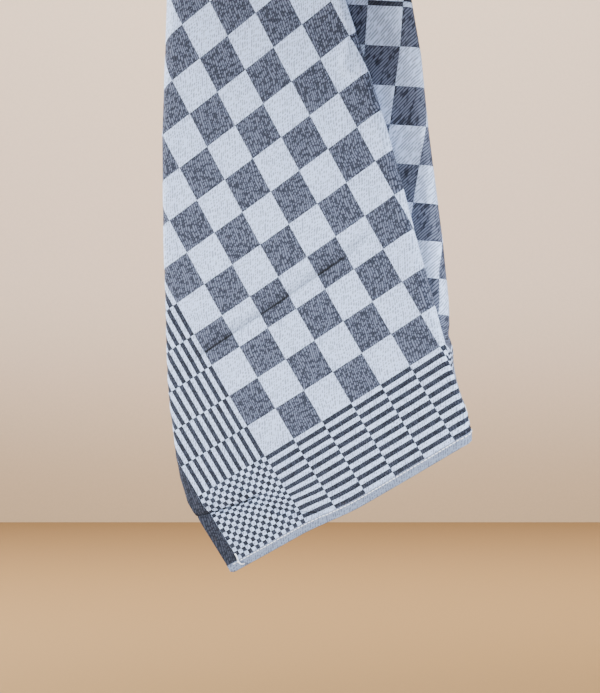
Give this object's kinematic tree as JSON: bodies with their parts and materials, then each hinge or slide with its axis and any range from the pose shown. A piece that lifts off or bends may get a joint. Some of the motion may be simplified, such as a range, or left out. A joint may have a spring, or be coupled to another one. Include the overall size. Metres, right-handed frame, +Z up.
{
  "type": "tea towel",
  "caption": "Checked cotton tea towel hanging by its upper hem, turned in its plane, with one deep pleat and both sides folded to the back.",
  "frame": {"origin": "the point at the middle of the upper hem that the towel hangs from", "axes": "+Z up, -Y towards the front panel, +X towards the pleated side"},
  "size_m": [0.2809, 0.0606, 0.7541],
  "materials": {
    "cotton_damask": "matt woven cotton"
  },
  "bodies": {
    "root": {"towel": "cotton_damask"}
  },
  "joints": []
}
